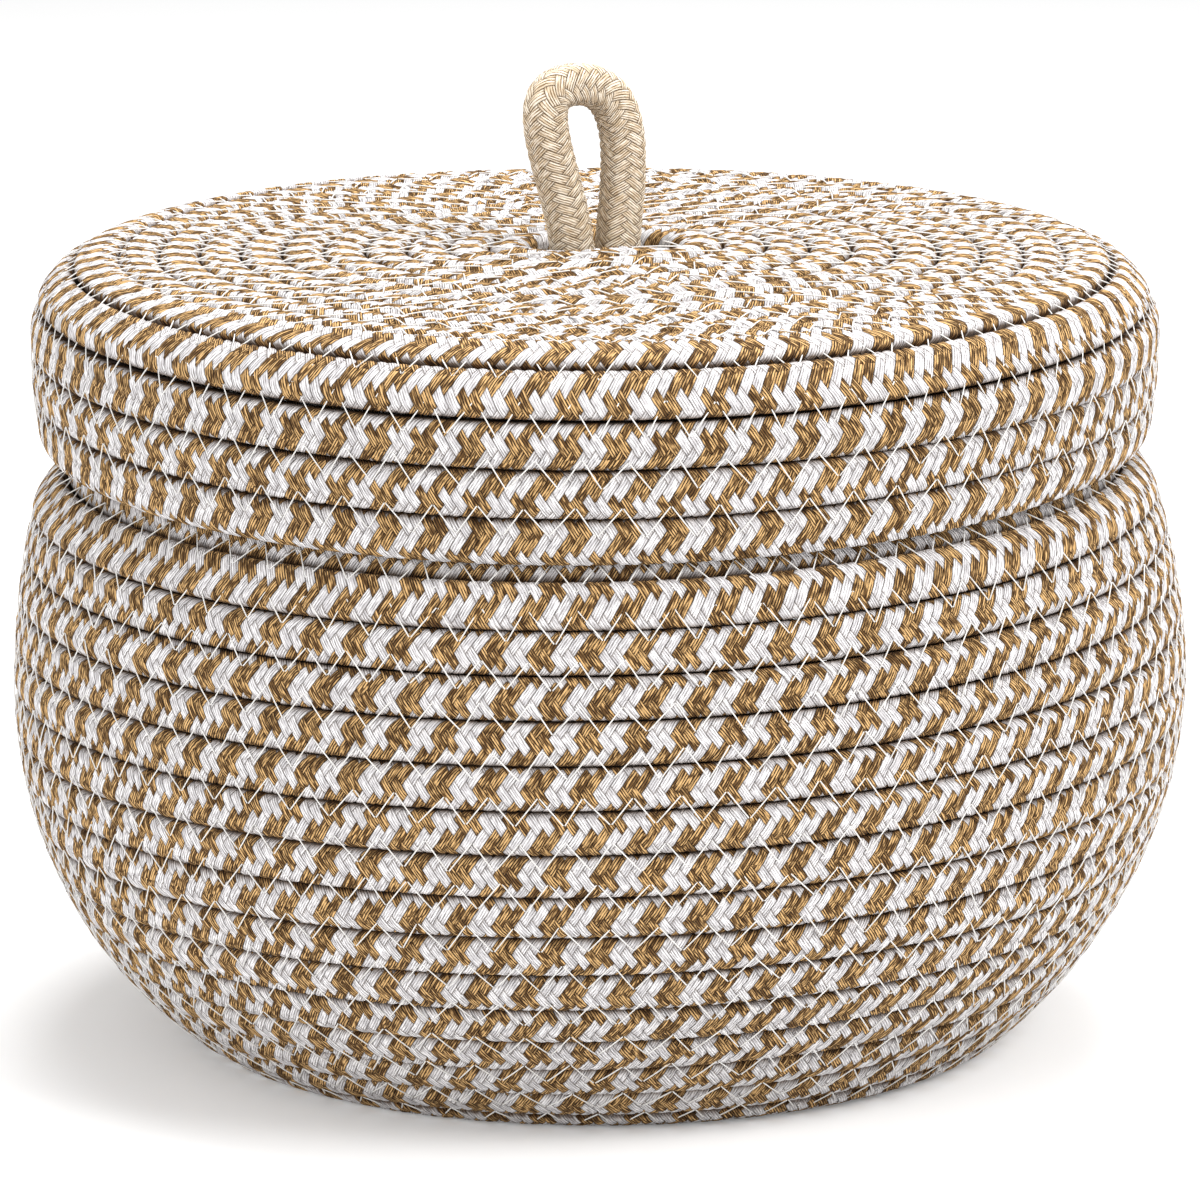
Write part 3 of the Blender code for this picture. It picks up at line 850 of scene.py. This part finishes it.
def make_knot(material, fray_material):
    """One leg runs straight down as a tail, and the other winds round both before it hangs beside it."""
    straight = [knot_place(-FOOT_SPACING / 2, 0, drop) for drop in LEG_DROPS]
    straight += tail_places(-1)
    wound = [knot_place(FOOT_SPACING / 2, 0, 0.0), knot_place(*WINDING_ENTRY)]
    for index in range(KNOT_TURNS * KNOT_STEPS + 1):
        share = index / (KNOT_TURNS * KNOT_STEPS)
        angle = math.tau * KNOT_TURNS * share + KNOT_START
        wound.append(knot_place(KNOT_REACH * math.cos(angle), KNOT_DEPTH * math.sin(angle),
                                KNOT_CORD_RADIUS + (KNOT_HEIGHT - 2 * KNOT_CORD_RADIUS) * share))
    wound += [knot_place(*WINDING_EXIT)]
    wound += tail_places(1)
    pieces = []
    for word, places in (("straight", straight), ("wound", wound)):
        line = even_line(smooth_line(places), braid_step())
        radius = np.full(len(line), KNOT_CORD_RADIUS)
        cord = cord_piece(f"knot_{word}", line, KNOT_SIDE, radius, material)
        way = line[-1] - line[-1 - FRAY_FROM]
        pieces += [cord, fray(f"tail_{word}_fray", line[-1], way, fray_material)]
    return pieces


def fray(name, place, way, material):
    """Loose strands that spread out at a cut end."""
    way = unit(np.asarray(way))
    side = unit(np.cross(way, FRAY_SIDE))
    other = np.cross(way, side)
    cells = math.ceil(math.sqrt(FRAY_STRANDS))
    length_pace, bow_pace = FRAY_PACES
    share = np.linspace(0, 1, FRAY_STEPS)[:, None]
    strands = []
    for index in range(FRAY_STRANDS):
        angle = index * FRAY_TURN
        out = side * math.cos(angle) + other * math.sin(angle)
        reach = KNOT_CORD_RADIUS * FRAY_REACH_SHARE * math.sqrt((index + 0.5) / FRAY_STRANDS)
        length = FRAY_LENGTH * (1 - FRAY_SHORT_SHARE + FRAY_SHORT_SHARE * math.sin(index * length_pace))
        bow = FRAY_BOW * math.sin(index * bow_pace)
        points = (place - way * FRAY_ROOT + out * reach + way * length * share
                  + out * reach * FRAY_SPREAD_SHARE * share ** 2 + np.cross(way, out) * bow * share ** 2)
        strand = thin_tube(name, points, out, FRAY_RADIUS, THREAD_SIDES, material)
        shrink_map(strand, index % cells, index // cells, cells)
        strands.append(strand)
    return joined(name, strands)


def dress(route, body, spans, random, rope_look, thread_look):
    """A rope and its sewing thread; each span holds a slot, the node replaced, and first and last turn."""
    for slot, node, first, last in spans:
        start, end = route.length_at(first), route.length_at(last)
        pieces = max(1, math.ceil((end - start) / PIECE_LENGTH))
        for index in range(pieces):
            here = start + (end - start) * index / pieces
            there = start + (end - start) * (index + 1) / pieces
            piece = rope_piece(f"{slot}_{index + 1:02d}", route, here, there, rope_look)
            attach(piece, body)
            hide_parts(node)
        for side, word in ((1, "outer"), (-1, "inner")):
            name = f"{slot}_{word}_thread"
            thread = zigzag_thread(name, route, first, last, side, random, thread_look)
            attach(thread, body)


def add_camera():
    """The photograph's viewpoint: far off, through a long lens."""
    data = bpy.data.cameras.new("camera")
    data.sensor_width = SENSOR_WIDTH
    data.lens = LENS
    data.clip_start = CLIP_START
    data.clip_end = CLIP_END
    camera = bpy.data.objects.new("camera", data)
    camera.location = CAMERA_PLACE
    camera.rotation_euler = (math.pi / 2 - CAMERA_PITCH, 0.0, 0.0)
    bpy.context.scene.collection.objects.link(camera)
    bpy.context.scene.camera = camera


def add_lamp(name, place, size, power):
    """A square lamp that points at the basket."""
    data = bpy.data.lights.new(name, "AREA")
    data.energy = power
    data.size = size
    lamp = bpy.data.objects.new(name, data)
    lamp.location = place
    lamp.rotation_euler = (Vector(LAMP_TARGET) - Vector(place)).to_track_quat("-Z", "Y").to_euler()
    bpy.context.scene.collection.objects.link(lamp)


def seen_as(tree, seen, otherwise, output):
    """Shows one shader to the camera, and lets the other one light the scene."""
    path = tree.nodes.new("ShaderNodeLightPath")
    choose = tree.nodes.new("ShaderNodeMixShader")
    tree.links.new(path.outputs["Is Camera Ray"], choose.inputs[0])
    tree.links.new(otherwise.outputs[0], choose.inputs[1])
    tree.links.new(seen.outputs[0], choose.inputs[2])
    tree.links.new(choose.outputs[0], tree.nodes[output].inputs[0])


def add_world():
    """A white backdrop and plain light from all round."""
    world = bpy.data.worlds.new("world")
    bpy.context.scene.world = world
    world.use_nodes = True
    tree = world.node_tree
    background = tree.nodes["Background"]
    background.inputs["Color"].default_value = WHITE
    background.inputs["Strength"].default_value = WORLD_LIGHT
    white = tree.nodes.new("ShaderNodeBackground")
    white.inputs["Color"].default_value = WHITE
    white.inputs["Strength"].default_value = 1.0
    seen_as(tree, white, background, "World Output")


def add_floor():
    """A pale floor that shows the shadow and is white elsewhere."""
    bpy.ops.mesh.primitive_plane_add(size=FLOOR_SIZE, location=(0, 0, -FLOOR_DROP))
    floor = bpy.context.object
    floor.name = "floor"
    material, tree, shader = new_material("floor", 1.0)
    shader.inputs["Base Color"].default_value = FLOOR_COLOUR
    shader.inputs["Specular IOR Level"].default_value = 0.0
    glow = tree.nodes.new("ShaderNodeEmission")
    glow.inputs["Color"].default_value = WHITE
    glow.inputs["Strength"].default_value = FLOOR_GLOW
    both = tree.nodes.new("ShaderNodeAddShader")
    tree.links.new(shader.outputs[0], both.inputs[0])
    tree.links.new(glow.outputs[0], both.inputs[1])
    seen_as(tree, both, shader, "Material Output")
    floor.data.materials.append(material)


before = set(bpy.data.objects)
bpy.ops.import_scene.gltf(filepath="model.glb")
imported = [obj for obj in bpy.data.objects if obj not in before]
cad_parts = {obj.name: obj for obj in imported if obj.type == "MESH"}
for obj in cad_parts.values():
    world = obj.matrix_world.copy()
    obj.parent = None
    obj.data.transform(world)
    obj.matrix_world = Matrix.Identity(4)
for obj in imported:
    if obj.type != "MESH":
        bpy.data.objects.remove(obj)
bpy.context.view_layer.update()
mixed_rope = braided_material("mixed_rope", WHITE_COTTON, TAN_COTTON, WHITE_YARN_SHARE, TAN_YARN_SHARE)
plain_cord = braided_material("plain_cord", BEIGE_COTTON, BEIGE_COTTON, BEIGE_YARN_SHARE, BEIGE_YARN_SHARE)
sewing_thread = thread_material("sewing_thread", *THREAD_COLOURS)
loose_cotton = thread_material("loose_cotton", *LOOSE_COLOURS)
random = np.random.default_rng(STITCH_SEED)

basket = Route(basket_frame, -FOOT_RUN / ROW_PITCH, RIM_LAST_TURN, BASKET_SEED)
lid = Route(lid_frame, -LID_TURNS, LID_LAST_TURN, LID_SEED)

dress(basket, "basket", (
    ("base_rope", "basket_base", basket.first, WALL_FIRST_TURN),
    ("lower_wall_rope", "basket_wall_lower", WALL_FIRST_TURN, MIDDLE_WALL_FIRST_TURN),
    ("middle_wall_rope", "basket_wall_middle", MIDDLE_WALL_FIRST_TURN, UPPER_WALL_FIRST_TURN),
    ("upper_wall_rope", "basket_wall_upper", UPPER_WALL_FIRST_TURN, NECK_FIRST_TURN),
    ("neck_rope", "basket_neck", NECK_FIRST_TURN, RIM_LAST_TURN),
), random, mixed_rope, sewing_thread)
dress(lid, "lid", (
    ("lid_top_rope", "lid_top", lid.first, LID_SKIRT_FIRST_TURN),
    ("lid_skirt_rope", "lid_skirt", LID_SKIRT_FIRST_TURN, LID_LAST_TURN),
), random, mixed_rope, sewing_thread)
handle = make_handle(plain_cord)
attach(handle, "lid")
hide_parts("handle_loop")
for piece in make_knot(plain_cord, loose_cotton):
    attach(piece, "lid")
    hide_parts("handle_knot")

add_camera()
add_world()
add_floor()
for lamp in LAMPS:
    add_lamp(*lamp)
bpy.context.scene.view_settings.view_transform = "Standard"
